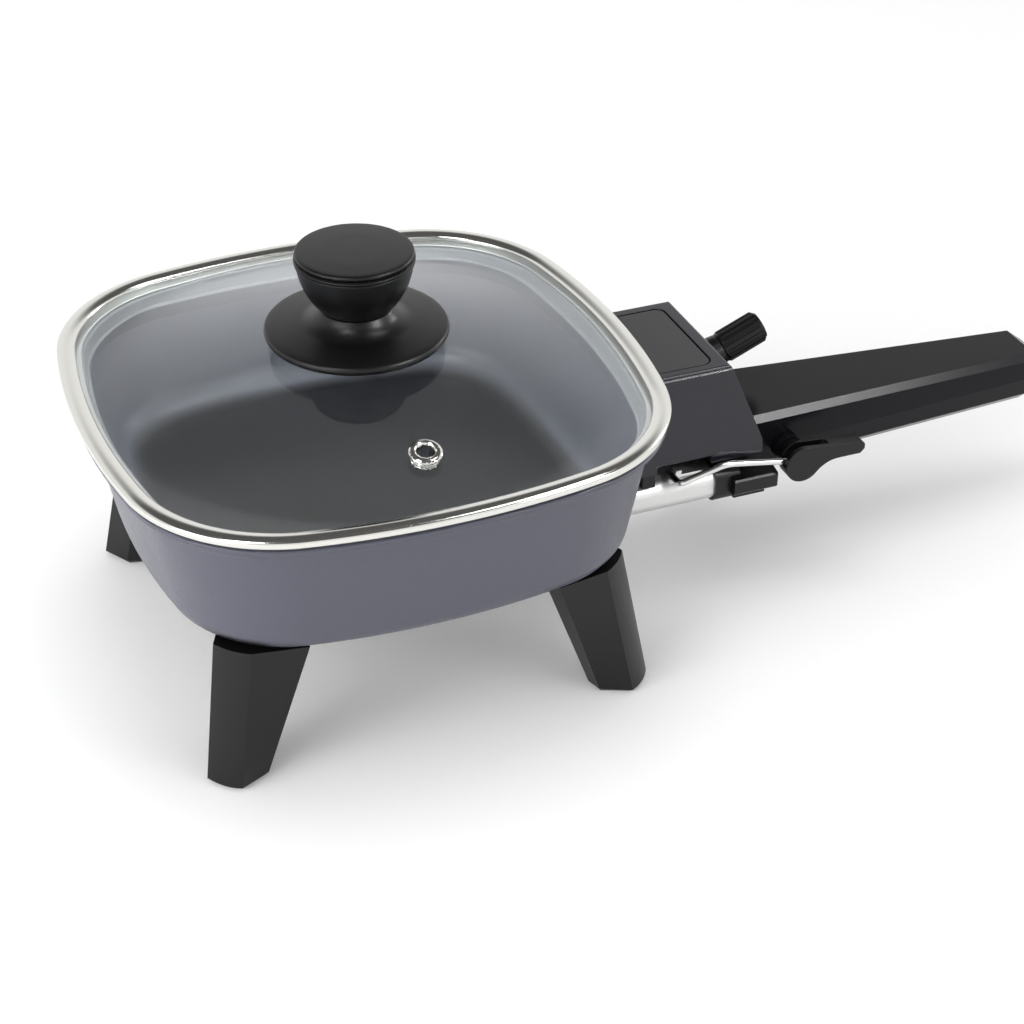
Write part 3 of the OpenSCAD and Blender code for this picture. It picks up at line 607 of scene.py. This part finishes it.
def outline_place(angle, inset):
    """The point of the lid's outline in a direction, at an inset in metres from its edge."""
    quarter = round(angle / QUARTER_TURN)
    turn = angle - quarter * QUARTER_TURN
    if abs(turn) <= SIDE_ANGLE:
        x = SIDE_C + (SIDE_R - inset) * math.cos(turn)
        y = (SIDE_R - inset) * math.sin(turn)
    else:
        x = CORNER_C + (CORNER_R - inset) * math.cos(turn)
        y = math.copysign(CORNER_C, turn) + (CORNER_R - inset) * math.sin(turn)
    c, s = math.cos(quarter * QUARTER_TURN), math.sin(quarter * QUARTER_TURN)
    return PAN_X + c * x - s * y, s * x + c * y


def outline_angles():
    """Directions round the outline, in even steps along each side and round each corner."""
    corner_turn = QUARTER_TURN - 2 * SIDE_ANGLE
    angles = []
    for quarter in range(4):
        side = quarter * QUARTER_TURN
        angles += [side + SIDE_ANGLE * (2 * i / SIDE_STEPS - 1) for i in range(SIDE_STEPS)]
        angles += [side + SIDE_ANGLE + corner_turn * i / CORNER_STEPS for i in range(CORNER_STEPS)]
    return angles


def ring_along_outline(name, section):
    """A band round the pan or lid: its section carried along the outline."""
    angles = outline_angles()
    rings = [[(*outline_place(angle, inset * MM), height * MM) for angle in angles]
             for inset, height in section + section[:1]]
    piece = stack_rings(name, rings)
    smooth_skin(piece, SMOOTH_BANDS)
    return piece


def rim_and_shoulder():
    """The lid's steel band and its foot, and the shoulder that the pan has under them."""
    stand_for(ring_along_outline("lid_rim_band", RIM_SECTION), "lid_rim")
    foot = ring_along_outline("lid_rim_foot", FOOT_SECTION)
    finish_piece(foot, "guard_metal", BODY_OF["lid_rim"])
    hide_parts("lid_rim")
    shoulder = ring_along_outline("pan_shoulder", SHOULDER_SECTION)
    finish_piece(shoulder, SLOT_OF["pan"], BODY_OF["pan"])


def dome(radius, limit):
    """Rise of the dome at a distance from the centre. It runs softly into the flat."""
    left = 1 - (radius / limit) ** 2
    return DOME_RISE * ((left + math.hypot(left, DOME_SOFTNESS)) / 2) ** DOME_POWER


def domed_glass():
    """The glass: rings from the screw's hole to the edge, over the top and back underneath."""
    edge = [outline_place(angle, GLASS_INSET * MM) for angle in outline_angles()]
    shares = [step / GLASS_STEPS for step in range(GLASS_STEPS + 1)]
    places = [(share, GLASS_TOP, DOME_R) for share in shares]
    places += [(share, GLASS_UNDER, DOME_UNDER_R) for share in reversed(shares)]
    rings = []
    for share, base, limit in places:
        ring = []
        for x, y in edge:
            reach = math.hypot(x - PAN_X, y) / MM
            radius = GLASS_HOLE + share * (reach - GLASS_HOLE)
            height = base + dome(radius, limit)
            ring.append((PAN_X + (x - PAN_X) * radius / reach, y * radius / reach, height * MM))
        rings.append(ring)
    piece = stack_rings("lid_glass_dome", rings + rings[:1])
    fall = dome(-VENT_Y - VENT_REACH, DOME_R) - dome(-VENT_Y + VENT_REACH, DOME_R)
    slope = math.atan(fall / (2 * VENT_REACH))
    cut_bore(piece, (PAN_X / MM, VENT_Y, VENT_Z - VENT_CUT / 2), VENT_CUT, VENT_HOLE, slope)
    activate(piece)
    bpy.ops.object.shade_smooth_by_angle(angle=math.radians(SMOOTH_BANDS))
    stand_for(piece, "lid_glass")


def leg_ring(height, out, width, side, spread, back, cut=0.0):
    """A slice of a leg in its own frame: the outer face, wide flank, back and plain flank."""
    half = width / 2 - cut
    radius = (half * half + LEG_BULGE ** 2) / (2 * LEG_BULGE)
    sweep = math.asin(half / radius)
    points = []
    for i in range(LEG_FACE_STEPS + 1):
        turn = sweep * (2 * i / LEG_FACE_STEPS - 1)
        bulge = LEG_BULGE - radius + radius * math.cos(turn)
        points.append((out - cut + bulge, radius * math.sin(turn)))
    inner = out - LEG_FLANK
    rear = inner - back + cut
    points += [(inner, spread - cut), (rear, LEG_BACK_SHARE * spread - cut)]
    points += [(rear, cut - LEG_BACK_SHARE * side), (inner, cut - side)]
    return [(x, y, height) for x, y in points]


def moulded_leg(node):
    """A leg with a crisp line between its outer face and its wide flank, which turns as it
    rises."""
    turn, mirror = LEG_TURNS[node]
    low, high = LEG_SLICES
    slices = [leg_ring(0, *low[1:], cut=LEG_FOOT_CUT)]
    for step in range(LEG_STEPS + 1):
        share = step / LEG_STEPS
        slices.append(leg_ring(*(a + (b - a) * share for a, b in zip(low, high))))
    place = Matrix.Translation((PAN_X, 0, 0)) @ Matrix.Rotation(math.radians(turn), 4, "Z")
    rings = [[place @ Vector((x * MM, y * mirror * MM, z * MM)) for x, y, z in ring]
             for ring in slices]
    piece = stack_rings(node + "_moulding", rings, closed=False)
    centre = place @ Vector((LEG_BORE_OUT * MM, 0, 0)) / MM
    for start, length, radius in LEG_BORES:
        cut_bore(piece, (centre.x, centre.y, start), length, radius)
    soften_edges(piece, LEG_EDGE, LEG_EDGE_ANGLE)
    smooth_skin(piece, SMOOTH_FLATS)
    stand_for(piece, node)


def wire_bail():
    """The bail: one length of round wire, bent at the lever, over the knee and at the hook."""
    x, y, z = BAIL_PIVOT
    knee_x, knee_z, hook_x, hook_z = (size * MM for size in BAIL_KNEE + BAIL_HOOK)
    stops = [Vector((x, BAIL_END_Y * MM, z)), Vector((x, y, z)), Vector((knee_x, y, knee_z)),
             Vector((hook_x, y, hook_z)), Vector((hook_x, BAIL_HOOK_Y * MM, hook_z))]
    bpy.ops.mesh.primitive_circle_add(
        vertices=WIRE_SIDES, radius=BAIL_RADIUS * MM, fill_type="NGON", location=stops[0],
        rotation=(QUARTER_TURN, 0, 0))
    piece = bpy.context.active_object
    piece.name = "bail_wire"
    settle(piece)
    bpy.ops.object.mode_set(mode="EDIT")
    bpy.ops.mesh.select_all(action="SELECT")
    at = stops[0]
    for before, stop, after, radius in zip(stops, stops[1:], stops[2:], BAIL_BENDS):
        ahead = (stop - before).normalized()
        onward = (after - stop).normalized()
        bend = ahead.angle(onward)
        reach = radius * MM * math.tan(bend / 2)
        start = stop - ahead * reach
        bpy.ops.mesh.extrude_region_move(TRANSFORM_OT_translate={"value": start - at})
        axis = ahead.cross(onward).normalized()
        centre = start + axis.cross(ahead) * radius * MM
        bpy.ops.mesh.spin(steps=BEND_STEPS, angle=-bend, center=centre, axis=axis)
        at = stop + onward * reach
    bpy.ops.mesh.extrude_region_move(TRANSFORM_OT_translate={"value": stops[-1] - at})
    bpy.ops.mesh.select_all(action="SELECT")
    bpy.ops.mesh.remove_doubles(threshold=WELD)
    bpy.ops.mesh.normals_make_consistent(inside=False)
    bpy.ops.object.mode_set(mode="OBJECT")
    soften_edges(piece, BAIL_END_EDGE, BAIL_END_ANGLE, segments=2)
    smooth_skin(piece, SMOOTH_BANDS)
    stand_for(piece, "latch_bail")


def knob_beads():
    """Two fine beads round the grip, just under its top disc."""
    for name, (radius, height) in KNOB_BEADS.items():
        bpy.ops.mesh.primitive_torus_add(
            major_segments=96, minor_segments=10, major_radius=radius * MM,
            minor_radius=BEAD_RADIUS * MM, location=(PAN_X, 0, height * MM))
        piece = bpy.context.active_object
        piece.name = name
        settle(piece)
        smooth_skin(piece, SMOOTH_BEADS)
        finish_piece(piece, SLOT_OF["lid_knob"], BODY_OF["lid_knob"])


def coat_nodes():
    """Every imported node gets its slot's finish."""
    for name, item in frame["nodes"].items():
        item.data.materials.clear()
        item.data.materials.append(finishes[SLOT_OF[name]])


# ---- Stage ----

def lay_floor():
    """A wide sheet of paper under the part."""
    bpy.ops.mesh.primitive_plane_add(size=FLOOR_SIZE, location=(0, 0, 0))
    floor = bpy.context.active_object
    floor.name = "floor"
    floor.data.materials.append(floor_paper())


def light_world():
    """A white sweep all round under a dim ceiling: seen and mirrored in full, softer as a light."""
    world = bpy.data.worlds.new("studio")
    bpy.context.scene.world = world
    world.use_nodes = True
    tree = world.node_tree
    tree.nodes.clear()
    path = add_node(tree, "LightPath")
    place = add_node(tree, "TexCoord")
    height = add_node(tree, "SeparateXYZ", inputs={"Vector": place.outputs["Generated"]})
    ceiling = add_node(tree, "MapRange", {"interpolation_type": "SMOOTHSTEP"}, {
        "Value": height.outputs["Z"], "From Min": CEILING_FROM, "From Max": CEILING_TO,
        "To Min": 1.0, "To Max": CEILING_LIGHT})
    shining = add_node(tree, "MapRange", inputs={
        "Value": height.outputs["Z"], "From Min": 0.0, "From Max": ZENITH_FROM,
        "To Min": HORIZON_LIGHT, "To Max": ZENITH_LIGHT})
    mirrored = add_node(tree, "Mix", inputs={
        "Factor": path.outputs["Is Glossy Ray"], "A": shining.outputs[0],
        "B": ceiling.outputs[0]})
    # Through the glass the sweep is white to the eye, but not to light that the pan scatters
    first = add_node(tree, "Math", {"operation": "LESS_THAN"}, {
        0: path.outputs["Diffuse Depth"], 1: 0.5})
    through = add_node(tree, "Math", {"operation": "MULTIPLY"}, {
        0: path.outputs["Is Transmission Ray"], 1: first.outputs[0]})
    seen = add_node(tree, "Math", {"operation": "MAXIMUM"}, {
        0: path.outputs["Is Camera Ray"], 1: through.outputs[0]})
    strength = add_node(tree, "Mix", inputs={
        "Factor": seen.outputs[0], "A": mirrored.outputs[0], "B": 1.0})
    sweep = add_node(tree, "Background", inputs={
        "Color": linear("#ffffff"), "Strength": strength.outputs[0]})
    add_node(tree, "OutputWorld", inputs={"Surface": sweep.outputs[0]})


bpy.context.scene.view_settings.view_transform = "Standard"
place_camera()
light_world()
light_studio()
lay_floor()
finishes = make_finishes()
coat_nodes()

dress("pan", SMOOTH_FLATS)
for leg in LEG_TURNS:
    moulded_leg(leg)
domed_glass()
rim_and_shoulder()
wire_bail()
knob_beads()
for round_node in ROUND_NODES:
    dress(round_node, SMOOTH_ROUNDS)
for edged_node, (edge_radius, edge_angle) in EDGES.items():
    dress(edged_node, SMOOTH_FLATS, edge_radius, edge_angle)
